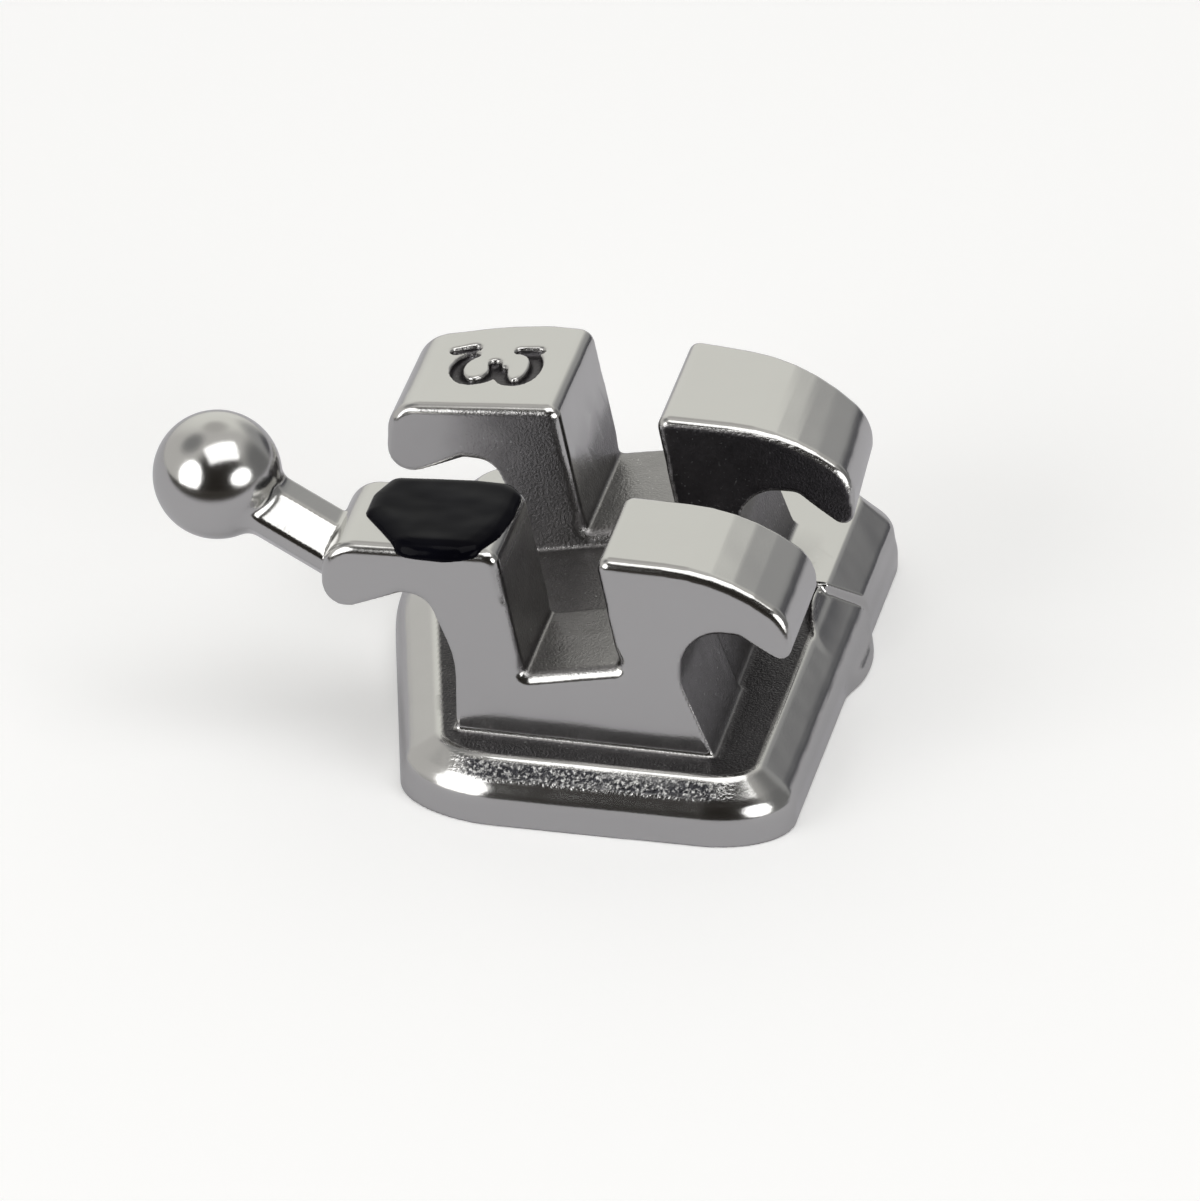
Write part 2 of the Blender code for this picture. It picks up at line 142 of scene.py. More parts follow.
def joined(first, second, fillet):
    """Union with a fillet: the smaller distance, less a parabola where the two are closer to
    each other than the fillet."""
    share = np.clip(0.5 + 0.5 * (second - first) / fillet, 0, 1)
    return second + (first - second) * share - fillet * share * (1 - share)


def cut(body, tool, rounding):
    """Body without tool, with the new edge rounded: the mirror image of a filleted union."""
    return -joined(-body, tool, rounding)


def both(first, second, rounding):
    """Intersection whose edge is an arc: the two distances, moved inwards by the radius, are
    the legs of a right-angled triangle outside the corner."""
    a, b = first + rounding, second + rounding
    outside = np.hypot(np.maximum(a, 0), np.maximum(b, 0))
    return np.minimum(np.maximum(a, b), 0) + outside - rounding


# %% The grid
VOXEL = 0.016
LOW = np.array([-2.60, -1.76, -0.06])
HIGH = np.array([1.50, 2.10, 2.12])

axes = [np.arange(low, high, VOXEL, dtype=np.float32) for low, high in zip(LOW, HIGH)]
X = axes[0][:, None, None]
Y = axes[1][None, :, None]
Z = axes[2][None, None, :]
print("grid:", [len(axis) for axis in axes])

# %% [markdown]
# ## Tie wings
# Seen along the slot, a wing pair has one section: a rectangular archwire slot, tilted so that
# the wire turns the tooth, and a hooked wing on each side under which the ligature lies. The
# sections are drawn from their corners and radii. The wing at the hook is lower and shorter
# in front, and the back pair tapers a little, so its section runs from one into another.

# %% Wing sections
SLOT_WIDTH = 0.56
SLOT_TILT = radians(12.0)
SLOT_FLOOR = np.array([0.01, 0.855])
SLOT_CORNER_ROUND = 0.025
SHELF_Z = 0.385
FOOT = SHELF_Z - 0.12

slot_across = np.array([cos(SLOT_TILT), sin(SLOT_TILT)])
slot_up = np.array([-sin(SLOT_TILT), cos(SLOT_TILT)])


def slot_corner(side, rise=None):
    """The end of the slot's floor, or the point of that wall at a height."""
    floor = SLOT_FLOOR + side * slot_across * SLOT_WIDTH / 2
    return floor if rise is None else floor + slot_up * (rise - floor[1]) / slot_up[1]


HOOK_SIDES = {
    "front": [
        (-0.665, FOOT, 0),
        (-0.668, 0.85, 0.60),
        (-0.830, 1.230, 0.16),
        (-0.985, 1.243, 0.08),
        (-1.455, 1.060, 0.147),
        (-1.455, 1.530, 0.20),
        (*slot_corner(-1, 1.575), 0.09),
    ],
    "back": [
        (-0.665, FOOT, 0),
        (-0.668, 0.85, 0.60),
        (-0.810, 1.200, 0.16),
        (-1.000, 1.205, 0.06),
        (-1.460, 1.012, 0.15),
        (-1.460, 1.515, 0.20),
        (*slot_corner(-1, 1.605), 0.09),
    ],
}
PLAIN_FOOT = [
    (0.652, 1.192, 0.235),
    (0.648, 0.860, 0.25),
    (0.900, FOOT, 0),
]
PLAIN_SIDES = {
    "usual": [
        (*slot_corner(1, 1.605), 0.07),
        (0.895, 1.600, 1.12),
        (1.285, 1.320, 0.25),
        (1.285, 1.030, 0.07),
        (0.980, 1.197, 0.10),
        *PLAIN_FOOT,
    ],
    "wide": [
        (*slot_corner(1, 1.605), 0.07),
        (0.935, 1.603, 1.14),
        (1.330, 1.335, 0.25),
        (1.330, 0.970, 0.07),
        (0.990, 1.200, 0.10),
        *PLAIN_FOOT,
    ],
}


def wing_section(hook_side, plain_side):
    """Distances to a section: the hook side's corners, the slot's floor, the plain side's."""
    floor = [(*slot_corner(side), SLOT_CORNER_ROUND) for side in (-1, 1)]
    corners = HOOK_SIDES[hook_side] + floor + PLAIN_SIDES[plain_side]
    return outline_distance(rounded(corners), X[:, :, 0], Z[0])


front_section = wing_section("front", "usual")
near_section = wing_section("back", "wide")
far_section = wing_section("back", "usual")
print("cells in the front section:", int((front_section < 0).sum()))


# %% Wing pairs
def smooth(value, low, high):
    """0 below low, 1 above high, and the cubic between that starts and ends level."""
    share = np.clip((value - low) / (high - low), 0, 1)
    return share * share * (3 - 2 * share)


FRONT_PAIR = (-1.305, -0.505)
BACK_PAIR = (0.385, 1.42)
TAPER_LENGTH = 1.0
CROWN = 0.09
CROWN_X = -0.30
NUMBERED_BULGE = 0.05
BULGE_RISES = (-1.35, -0.90)
BULGE_FALLS = (-0.75, -0.40)
EDGE_LOW = 0.02
EDGE_TOP = 0.062
EDGE_SLOT = 0.05
EDGE_FLOOR = 0.08
# Where one rounding of the rims gives way to the next: from the slot's middle outwards, above
# its floor, and by height
SLOT_ENDS = (0.34, 0.44)
SLOT_STARTS = (-0.16, -0.06)
FLOOR_ENDS = (0.02, 0.14)
TOP_STARTS = (1.10, 1.32)

from_slot = (X - SLOT_FLOOR[0]) * slot_across[0] + (Z - SLOT_FLOOR[1]) * slot_across[1]
up_slot = (X - SLOT_FLOOR[0]) * slot_up[0] + (Z - SLOT_FLOOR[1]) * slot_up[1]
near_slot = (1 - smooth(np.abs(from_slot), *SLOT_ENDS)) * smooth(up_slot, *SLOT_STARTS)
slot_edge = EDGE_SLOT + (EDGE_FLOOR - EDGE_SLOT) * (1 - smooth(up_slot, *FLOOR_ENDS))
wing_edge = EDGE_LOW + (EDGE_TOP - EDGE_LOW) * smooth(Z, *TOP_STARTS)
edge_round = np.maximum(wing_edge, near_slot * slot_edge)


def wing_pair(section, near, far, edge):
    """The section's distance met with the distances to a near and a far face, rims rounded."""
    return both(section, np.maximum(near - Y, Y - far), edge)


front_pair = wing_pair(front_section[:, None, :], *FRONT_PAIR, edge_round)
taper = np.clip((Y - BACK_PAIR[0]) / TAPER_LENGTH, 0, 1)
back_section = near_section[:, None, :] + (far_section - near_section)[:, None, :] * taper
far_face = BACK_PAIR[1] - CROWN * (X - CROWN_X) ** 2
far_face = far_face + NUMBERED_BULGE * smooth(X, *BULGE_RISES) * (1 - smooth(X, *BULGE_FALLS))
back_pair = wing_pair(back_section, BACK_PAIR[0], far_face, edge_round)

# %% Bridge between the pairs
BRIDGE_DROP = 0.10
BRIDGE_SINK = 0.1
BRIDGE_SIDES = (-0.66, 0.64)
BRIDGE_ROUND = 0.06
BRIDGE_EDGE = 0.01
bridge_top = SLOT_FLOOR[1] - BRIDGE_DROP
bridge_section = outline_distance(
    rounded(
        [
            (-0.665, FOOT, 0),
            *[(side, bridge_top + side * tan(SLOT_TILT), BRIDGE_ROUND) for side in BRIDGE_SIDES],
            (0.860, FOOT, 0),
        ]
    ),
    X[:, :, 0],
    Z[0],
)
bridge_ends = (FRONT_PAIR[1] - BRIDGE_SINK, BACK_PAIR[0] + BRIDGE_SINK)
bridge = wing_pair(bridge_section[:, None, :], *bridge_ends, BRIDGE_EDGE)

# %% [markdown]
# ## Bonding pad
# The pad follows the crown of the tooth: three straight sides and a bent one towards the gum.
# Its section is the same all round, an upright rim, a sloping flange and a shelf that carries
# the wings, but behind a step the pad is thicker. So it is a section in two coordinates, how
# far in from the edge and how high, where the first comes from the distances to the edges.

# %% Pad outline and sections
PAD_CORNERS = np.array(
    [(-0.900, -1.690), (1.325, -1.650), (1.365, 2.020), (-1.360, 1.800), (-1.430, 0.44)]
)
PAD_ROUND = 0.36
# Below 1 at the sides, where the flange is wider: the distance from the edge grows slower
EDGE_SCALE = (1.0, 0.72, 1.0, 0.67, 0.67)
BEND_FILLET = 0.05
BOTTOM_ROUND = 0.012
# Farther in than the middle, so that a section has no inner wall
PAST_MIDDLE = 3.0
PAD_SECTION = [
    (0.0, 0.0, BOTTOM_ROUND),
    (0.0, 0.205, 0.25),
    (0.147, SHELF_Z, 0.042),
    (PAST_MIDDLE, SHELF_Z, 0),
    (PAST_MIDDLE, 0.0, 0),
]
BACK_RISE = 0.09
BACK_SECTION = [
    (0.0, 0.0, BOTTOM_ROUND),
    (0.0, 0.12, 0.20),
    (0.020, 0.300, 0.12),
    (0.160, SHELF_Z + BACK_RISE, 0.03),
    (PAST_MIDDLE, SHELF_Z + BACK_RISE, 0),
    (PAST_MIDDLE, 0.0, 0),
]
STEP_Y = 0.64
STEP_BEND_X = 1.13
STEP_EDGE = 0.012
STEP_FILLET = 0.008
FIELD_INSET = 0.24
FIELD_DEPTH = 0.07
LOW_PART_TOP = 0.75


def edge_inset(x, y):
    """How far a point lies inside the pad's edge: the least distance to an edge, and near a
    corner its radius less the length of the shortfalls from both edges."""
    insets = []
    for a, b, scale in zip(PAD_CORNERS, np.roll(PAD_CORNERS, -1, axis=0), EDGE_SCALE):
        along = (b - a) / np.linalg.norm(b - a)
        insets.append(scale * (along[0] * (y - a[1]) - along[1] * (x - a[0])))
    bent = joined(insets[3], insets[4], BEND_FILLET)
    sides = np.stack([*insets[:3], bent])
    shortfall = np.sqrt((np.maximum(PAD_ROUND - sides, 0) ** 2).sum(0))
    return np.where(shortfall > 0, PAD_ROUND - shortfall, sides.min(0))


inset = edge_inset(X[:, :, 0], Y[:, :, 0])
low_layers = int((LOW_PART_TOP - LOW[2]) / VOXEL)
low_z = Z[:, :, :low_layers]
pad = outline_distance(rounded(PAD_SECTION), inset[:, :, None], low_z)
back_pad = outline_distance(rounded(BACK_SECTION), inset[:, :, None], low_z)
step_y = STEP_Y + np.maximum(X - STEP_BEND_X, 0)
pad = joined(pad, both(back_pad, step_y - Y, STEP_EDGE), STEP_FILLET)
print("pad layers:", pad.shape)

# %% Bonding side
STUD_PITCH = 0.34
STUD_RADIUS = 0.060
STUD_FLARE = 0.35
STUD_MARGIN = 0.12
STUD_FILLET = 0.01
RECESS_FILLET = 0.01
RECESS_RIM_ROUND = 0.012

recess = both(FIELD_INSET - inset[:, :, None], np.abs(low_z) - FIELD_DEPTH, RECESS_FILLET)
stud_x = STUD_PITCH * np.round(X[:, :, 0] / STUD_PITCH)
stud_y = STUD_PITCH * np.round(Y[:, :, 0] / STUD_PITCH)
stud_clear = edge_inset(stud_x, stud_y) > FIELD_INSET + STUD_MARGIN
stud_gap = np.hypot(X[:, :, 0] - stud_x, Y[:, :, 0] - stud_y)
stud = stud_gap[:, :, None] - STUD_RADIUS - STUD_FLARE * (FIELD_DEPTH - low_z)
stud = np.maximum(stud, -low_z)
recess = np.where(stud_clear[:, :, None], cut(recess, stud, STUD_FILLET), recess)
pad = cut(pad, recess, RECESS_RIM_ROUND)

# %% Lobe on the rim
LOBE_CENTRE = (1.245, 0.52)
LOBE_RADII = (0.178, 0.40)
LOBE_RIM = 0.16
LOBE_EDGE = 0.02
LOBE_FILLET = 0.03
FLANGE_SLOPE = radians(51)

lobe_gap = np.hypot(
    (X[:, :, 0] - LOBE_CENTRE[0]) / LOBE_RADII[0], (Y[:, :, 0] - LOBE_CENTRE[1]) / LOBE_RADII[1]
)
lobe_top = (low_z - LOBE_RIM) * cos(FLANGE_SLOPE) + (X - PAD_CORNERS[1][0]) * sin(FLANGE_SLOPE)
lobe_wall = ((lobe_gap - 1) * LOBE_RADII[0])[:, :, None]
lobe = both(lobe_wall, np.maximum(lobe_top, -low_z), LOBE_EDGE)
pad = joined(pad, lobe, LOBE_FILLET)

# %% [markdown]
# ## Hook
# The hook holds elastics. Its ball sits on a short bar with broad bevels that grows out of
# the nose of one wing, so the bar's section is an eight-sided one carried along its axis.

# %% Hook
BALL = np.array([-2.147, -0.905, 1.677])
BALL_RADIUS = 0.372
NOSE = np.array([-1.42, -0.905, 1.28])
STEM_HALF_WIDTH = 0.26
STEM_HALF_HEIGHT = 0.17
BEVEL = np.array([0.172, 0.132])
STEM_ROUND = 0.01
STEM_SINK = 0.12
STEM_FILLET = 0.05


def stem():
    """A bar from the ball to the nose, longer at each end by its sink: its section's distance is
    the greatest of those to its sides, its top and bottom and its bevels, corners rounded."""
    along = (NOSE - BALL) / np.linalg.norm(NOSE - BALL)
    over = np.array([-along[2], 0, along[0]])
    px, pz = X - BALL[0], Z - BALL[2]
    t = px * along[0] + pz * along[2]
    n = np.abs(px * over[0] + pz * over[2])
    s = np.abs(Y - BALL[1])
    corner = (STEM_HALF_WIDTH - BEVEL[0]) * BEVEL[1] + STEM_HALF_HEIGHT * BEVEL[0]
    bevel = (s * BEVEL[1] + n * BEVEL[0] - corner) / np.linalg.norm(BEVEL)
    section = both(n - STEM_HALF_HEIGHT, bevel, STEM_ROUND)
    section = both(section, s - STEM_HALF_WIDTH, STEM_ROUND)
    length = np.linalg.norm(NOSE - BALL)
    return np.maximum(section, np.abs(t - length / 2) - length / 2 - STEM_SINK)


ball = np.sqrt((X - BALL[0]) ** 2 + (Y - BALL[1]) ** 2 + (Z - BALL[2]) ** 2) - BALL_RADIUS
hook = joined(ball, stem(), STEM_FILLET)

# %% [markdown]
# ## Numeral
# A plain digit is sunk into one wing, so that the dentist can tell the brackets apart. Its
# strokes are a set of short lines and arcs, and the cut is everything nearer to them than
# half the stroke, down to a little under the face.

# %% Numeral
STROKE = 0.036
NUMERAL_DEPTH = 0.055
NUMERAL_FLOOR_ROUND = 0.03
NUMERAL_RIM_ROUND = 0.02
ARC_POINTS = 28


def arc(centre, radii, start, end):
    """Points of an ellipse from one angle to another, in degrees."""
    angles = np.radians(np.linspace(start, end, ARC_POINTS))
    across = centre[0] + radii[0] * np.cos(angles)
    return np.stack([across, centre[1] + radii[1] * np.sin(angles)], 1)


strokes = [
    arc((-1.022, 0.885), (0.118, 0.175), 118, 352),
    arc((-0.776, 0.895), (0.100, 0.190), 188, 440),
    np.array([(-0.893, 0.800), (-0.925, 0.945)]),
    np.array([(-1.185, 1.075), (-1.085, 1.125)]),
    np.array([(-0.800, 1.098), (-0.700, 1.105)]),
]
stroke_gap = np.full(X[:, :, 0].shape[:1] + Y[:, :, 0].shape[1:], np.inf)
for line in strokes:
    for a, b in zip(line, line[1:]):
        stroke_gap = np.minimum(stroke_gap, segment_distance(a, b, X[:, :, 0], Y[:, :, 0]))
top_left, top_right = np.array(HOOK_SIDES["back"][-2:])
top_z = np.interp(X, (top_left[0], top_right[0]), (top_left[1], top_right[1]))
numeral = both((stroke_gap - STROKE)[:, :, None], top_z - NUMERAL_DEPTH - Z, NUMERAL_FLOOR_ROUND)
back_pair = cut(back_pair, numeral, NUMERAL_RIM_ROUND)

# %% [markdown]
# ## One casting
# The pieces meet in fillets of a few hundredths of a millimetre, as the moulding tool leaves
# them.

# %% Join the bodies
PAIR_FILLET = 0.01
BRIDGE_FILLET = 0.03
HOOK_FILLET = 0.02
FOOT_FILLET = 0.04
body = joined(front_pair, back_pair, PAIR_FILLET)
body = joined(body, bridge, BRIDGE_FILLET)
body = joined(body, hook, HOOK_FILLET)
low_part = body[:, :, :low_layers]
body[:, :, :low_layers] = joined(low_part, pad, FOOT_FILLET)
print("body cells inside:", int((body < 0).sum()))

# %% From field to mesh
CORNERS = [(i, j, k) for i in (0, 1) for j in (0, 1) for k in (0, 1)]
SETTLING_STEPS = 3
LEAST_SLOPE = 0.5


def shifted(field, corner):
    """The field's values at one corner of every cell."""
    return field[tuple(slice(c, n - 1 + c) for c, n in zip(corner, field.shape))]


def surface_net(field, grid_axes):
    """Vertices and quads of the zero surface: a cell whose corners differ in sign gets one
    vertex, the mean of its edges' crossing points, and each grid edge that changes sign gets
    the quad of the four cells around it."""
    inside = field < 0
    count = sum(shifted(inside, c).astype(np.int8) for c in CORNERS)
    cells = np.argwhere((count > 0) & (count < 8))
    number = np.full(count.shape, -1, np.int32)
    number[tuple(cells.T)] = np.arange(len(cells))
    total = np.zeros((len(cells), 3))
    hits = np.zeros(len(cells))
    for start in CORNERS:
        for axis in range(3):
            if start[axis]:
                continue
            end = tuple(c + (n == axis) for n, c in enumerate(start))
            f0 = field[tuple((cells + start).T)]
            f1 = field[tuple((cells + end).T)]
            crosses = (f0 < 0) != (f1 < 0)
            share = np.where(crosses, f0 / np.where(crosses, f0 - f1, 1), 0)
            spot = cells + np.array(start, float)
            spot[:, axis] += share
            total += spot * crosses[:, None]
            hits += crosses
    spots = total / hits[:, None]
    vertices = np.stack(
        [np.interp(spots[:, n], np.arange(len(a)), a) for n, a in enumerate(grid_axes)], 1
    )
    quads = []
    for axis in range(3):
        u, v = (axis + 1) % 3, (axis + 2) % 3
        low = [slice(None)] * 3
        high = [slice(None)] * 3
        low[axis], high[axis] = slice(None, -1), slice(1, None)
        change = inside[tuple(low)] != inside[tuple(high)]
        edges = np.argwhere(change)
        edges = edges[(edges[:, u] > 0) & (edges[:, v] > 0)]
        around = []
        for du, dv in ((-1, -1), (0, -1), (0, 0), (-1, 0)):
            cell = edges.copy()
            cell[:, u] += du
            cell[:, v] += dv
            around.append(number[tuple(cell.T)])
        quad = np.stack(around, 1)
        outwards = inside[tuple(edges.T)]
        quad[~outwards] = quad[~outwards][:, ::-1]
        quads.append(quad)
    return vertices, np.concatenate(quads)


def sampled(field, grid_axes, points):
    """The field between grid points: the mean of the eight around, weighted by nearness."""
    place = [np.interp(points[:, n], a, np.arange(len(a))) for n, a in enumerate(grid_axes)]
    base = [np.clip(p.astype(int), 0, len(a) - 2) for p, a in zip(place, grid_axes)]
    share = [p - b for p, b in zip(place, base)]
    value = 0
    for corner in CORNERS:
        weight = 1
        for n, c in enumerate(corner):
            weight = weight * (share[n] if c else 1 - share[n])
        value = value + weight * field[tuple(b + c for b, c in zip(base, corner))]
    return value


def slope(field, grid_axes, points, reach):
    """The field's gradient at points: differences across a short reach on each axis."""
    parts = []
    for n in range(3):
        offset = np.zeros(3)
        offset[n] = reach
        ahead = sampled(field, grid_axes, points + offset)
        behind = sampled(field, grid_axes, points - offset)
        parts.append((ahead - behind) / (2 * reach))
    return np.stack(parts, 1)


def settled(field, grid_axes, points):
    """Points moved onto the surface: steps against the gradient by the field's value, which
    stay short where the field is nearly level."""
    for _ in range(SETTLING_STEPS):
        gradient = slope(field, grid_axes, points, VOXEL / 2)
        length = np.maximum((gradient**2).sum(1), LEAST_SLOPE**2)
        points = points - gradient * (sampled(field, grid_axes, points) / length)[:, None]
    return points


vertices, quads = surface_net(body, axes)
vertices = settled(body, axes, vertices)
print("net:", len(vertices), "vertices,", len(quads), "quads")


# %% Mesh object
MOST_TRIANGLES = 190_000


def mesh_object(name, points_mm, faces):
    """A mesh at the origin from arrays of points, in millimetres, and of faces."""
    mesh = bpy.data.meshes.new(name)
    mesh.vertices.add(len(points_mm))
    mesh.vertices.foreach_set("co", (points_mm * MM).astype(np.float32).ravel())
    sides = faces.shape[1]
    mesh.loops.add(faces.size)
    mesh.loops.foreach_set("vertex_index", faces.astype(np.int32).ravel())
    mesh.polygons.add(len(faces))
    mesh.polygons.foreach_set("loop_start", np.arange(0, faces.size, sides, dtype=np.int32))
    mesh.update(calc_edges=True)
    mesh.validate()
    mesh.shade_smooth()
    made = bpy.data.objects.new(name, mesh)
    bpy.context.scene.collection.objects.link(made)
    return made


def thinned(piece, most_triangles):
    """The piece with flat places given fewer, larger triangles, its modifier applied."""
    triangles = 2 * len(piece.data.polygons)
    step = piece.modifiers.new("thin", "DECIMATE")
    step.ratio = min(1, most_triangles / triangles)
    graph = bpy.context.evaluated_depsgraph_get()
    mesh = bpy.data.meshes.new_from_object(piece.evaluated_get(graph))
    piece.modifiers.clear()
    piece.data = mesh
    mesh.shade_smooth()
    return piece


casting = thinned(mesh_object("bracket_casting", vertices, quads), MOST_TRIANGLES)
print("casting triangles:", sum(len(p.vertices) - 2 for p in casting.data.polygons))

# %% [markdown]
# ## Where the media don't reach, and where shade is painted
# How polished a place is depends on how open it lies, so that is measured: from each vertex
# rays go out evenly in all directions, and the share of them that meets the casting, each
# weighted by the cosine of its angle to the surface, is the shelter. It finds the corners but
# not whole dark faces, so the faces of the gap, the slot, the shelf, the neck and the numeral
# are marked by where they lie as well. The mask made from both sets rougher, grainier metal
# there, and it also paints the shade that falls in these corners and recesses into the
# metal's colour. Those limits aren't measured: they were chosen so that the tones come near
# the photograph's. Another mask, chosen in the same way, marks the upper part of the near
# flange, where the moulded grain was left.

# %% Shelter and grain
RAYS = 48
REACHES = (0.05, 0.11, 0.18, 0.27, 0.38, 0.52, 0.70, 0.95, 1.25)
LIFT = 0.025


def points_of(piece):
    """The piece's vertices as an array, in millimetres."""
    flat = np.empty(3 * len(piece.data.vertices), np.float32)
    piece.data.vertices.foreach_get("co", flat)
    return flat.reshape(-1, 3) / MM


def even_directions(count):
    """Unit vectors on a spiral whose turns are the golden angle, at even steps of height."""
    step = np.arange(count) + 0.5
    height = 1 - 2 * step / count
    ring = np.sqrt(1 - height**2)
    turn = np.pi * (3 - np.sqrt(5)) * step
    return np.stack([ring * np.cos(turn), ring * np.sin(turn), height], 1)


def shelter_of(points, normals):
    """The cosine-weighted share of directions in which the body is met within the reaches."""
    blocked, total = 0, 0
    last = np.array(body.shape) - 1
    for ray in even_directions(RAYS):
        weight = np.maximum(normals @ ray, 0)
        hit = np.zeros(len(points), bool)
        for reach in REACHES:
            place = points + normals * LIFT + ray * reach
            cell = np.clip(np.rint((place - LOW) / VOXEL).astype(int), 0, last)
            hit |= body[tuple(cell.T)] < 0
        blocked = blocked + weight * hit
        total = total + weight
    return blocked / total


def keep(piece, name, values):
    """Stores one number for each vertex under a name that a material reads."""
    layer = piece.data.attributes.new(name, "FLOAT", "POINT")
    layer.data.foreach_set("value", values.astype(np.float32))


spots = points_of(casting)
normals = slope(body, axes, spots, VOXEL / 2)
normals /= np.maximum(np.linalg.norm(normals, axis=1), 1e-6)[:, None]
shelter = shelter_of(spots, normals)

x, y, z = spots.T
across = (x - SLOT_FLOOR[0]) * slot_across[0] + (z - SLOT_FLOOR[1]) * slot_across[1]
up = (x - SLOT_FLOOR[0]) * slot_up[0] + (z - SLOT_FLOOR[1]) * slot_up[1]
edge_gap = edge_inset(x, y)
facing_x, facing_y, facing_z = normals.T


def below(value, low, high):
    """1 below low, 0 above high, and a smooth step between."""
    return 1 - smooth(value, low, high)


# Each mask is a product of steps: where the face lies and which way it looks
in_gap = smooth(y, -0.56, -0.52) * below(y, 0.40, 0.46)
pair_faces = in_gap * smooth(np.abs(facing_y), 0.84, 0.95)
pair_faces *= 0.15 + 0.85 * smooth(x, -1.20, -0.75)
pair_faces *= 0.75 + 0.25 * smooth(x, 0.0, 0.3)
gap_floor = in_gap * smooth(facing_z, 0.3, 0.6) * below(z, 0.95, 1.05)
gap_floor *= smooth(z, 0.50, 0.60)
in_slot = below(np.abs(across), 0.31, 0.34) * smooth(up, -0.05, -0.02)
wall = in_slot * smooth(np.abs(facing_x), 0.5, 0.8)
wall *= np.where(y < 0, below(up, 0.62, 0.74), below(up, 0.28, 0.44))
slot_floor = in_slot * below(up, 0.03, 0.10) * smooth(facing_z, 0.5, 0.8)
shelf = smooth(facing_z, 0.6, 0.9) * below(z, 0.42, 0.46) * smooth(edge_gap, 0.156, 0.170)
neck = smooth(facing_x, 0.4, 0.8) * below(x, 0.92, 1.0) * below(z, 1.0, 1.2)

NUMERAL_MIDDLE = (-0.93, 0.93)
NUMERAL_REACH = (0.32, 0.28)
at_numeral = (z > 1.35) & (np.abs(x - NUMERAL_MIDDLE[0]) < NUMERAL_REACH[0])
at_numeral &= np.abs(y - NUMERAL_MIDDLE[1]) < NUMERAL_REACH[1]
sunk = np.interp(x, (top_left[0], top_right[0]), (top_left[1], top_right[1])) - z
groove = smooth(sunk, 0.008, 0.028) * at_numeral

# These places and the sheltered corners get painted shade: the mask darkens the steel's colour
# there, besides making it rougher and grainier
by_place = np.stack(
    [pair_faces, 0.85 * gap_floor, 0.82 * wall, 0.72 * slot_floor, shelf, 0.9 * neck, groove]
)
shade_and_grain = np.maximum(by_place.max(0), 0.7 * smooth(shelter, 0.42, 0.70))
keep(casting, "shade_and_grain", shade_and_grain)

as_moulded = smooth(edge_gap, 0.045, 0.070) * below(edge_gap, 0.122, 0.132)
as_moulded *= smooth(-y, 1.42, 1.44) * smooth(x, -0.70, -0.50) * below(x, 0.85, 1.05)
keep(casting, "as_moulded", as_moulded)
casting.data.normals_split_custom_set_from_vertices(normals)
print("enclosed, mean:", round(float(shade_and_grain.mean()), 3))

# %% [markdown]
# ## Enamel mark
# The mark is a drop of enamel that wetted the wing and ran a little over its near edge. So
# it is a skin over the casting: everything outside the metal that lies nearer to it than the
# drop is thick there, and the thickness falls to nothing at the drop's outline.

# %% Mark
MARK_VOXEL = 0.011
MARK_LOW = (-1.34, -1.45, 1.36)
MARK_HIGH = (-0.28, -0.45, 1.70)
MARK_THICKNESS = 0.050
MARK_EDGE = 0.10
SKIN_DEPTH = 0.02
DRIP_FLOOR = 1.502
DRIP_SLOPE = 0.20
DRIP_BEND_X = -0.72
DRIP_EDGE = 0.02
mark_outline = rounded(
    [
        (-1.265, -0.950, 0.08),
        (-1.270, -0.740, 0.10),
        (-1.200, -0.530, 0.08),
        (-0.720, -0.485, 0.15),
        (-0.520, -0.510, 0.08),
        (-0.385, -0.620, 0.10),
        (-0.365, -0.850, 0.12),
        (-0.480, -1.180, 0.20),
        (-0.580, -1.400, 0.08),
        (-0.940, -1.400, 0.12),
        (-1.130, -1.130, 0.30),
    ]
)
mark_axes = [np.arange(low, high, MARK_VOXEL) for low, high in zip(MARK_LOW, MARK_HIGH)]
mark_grid = np.meshgrid(*mark_axes, indexing="ij")
mark_points = np.stack([g.ravel() for g in mark_grid], 1)
metal = sampled(body, axes, mark_points).reshape(mark_grid[0].shape)
mark_edge = outline_distance(mark_outline, mark_grid[0][:, :, 0], mark_grid[1][:, :, 0])
rise = np.clip(-mark_edge / MARK_EDGE, -1, 1)
thickness = MARK_THICKNESS * np.sqrt(np.clip(rise, 0, 1) * (2 - np.clip(rise, 0, 1)))
thickness = np.where(mark_edge > 0, -mark_edge, thickness)
mark_field = np.maximum(metal - thickness[:, :, None], -metal - SKIN_DEPTH)
drip_floor = DRIP_FLOOR + DRIP_SLOPE * np.maximum(mark_grid[0] - DRIP_BEND_X, 0)
mark_field = both(mark_field, drip_floor - mark_grid[2], DRIP_EDGE)
mark_vertices, mark_quads = surface_net(mark_field, mark_axes)
enamel_mark = mesh_object("enamel_mark", mark_vertices, mark_quads)
print("mark triangles:", 2 * len(mark_quads))

# %% [markdown]
# ## Shader maths
# A material here is worked out with ordinary arithmetic. The class below wraps a number
# socket, so that an expression such as 1 - mask adds the Math nodes by itself.

# %% Shader helpers
class Value:
    """A number socket in a node tree; arithmetic on it adds Math nodes."""

    def __init__(self, graph, socket):
        self.graph = graph
        self.socket = socket

    def maths(self, operation, first, second):
        made = self.graph.add("ShaderNodeMath", {"operation": operation}, {0: first, 1: second})
        return Value(self.graph, made.outputs[0])

    def __add__(self, other):
        return self.maths("ADD", self, other)

    def __sub__(self, other):
        return self.maths("SUBTRACT", self, other)

    def __rsub__(self, other):
        return self.maths("SUBTRACT", other, self)

    def __mul__(self, other):
        return self.maths("MULTIPLY", self, other)

    __radd__ = __add__
    __rmul__ = __mul__


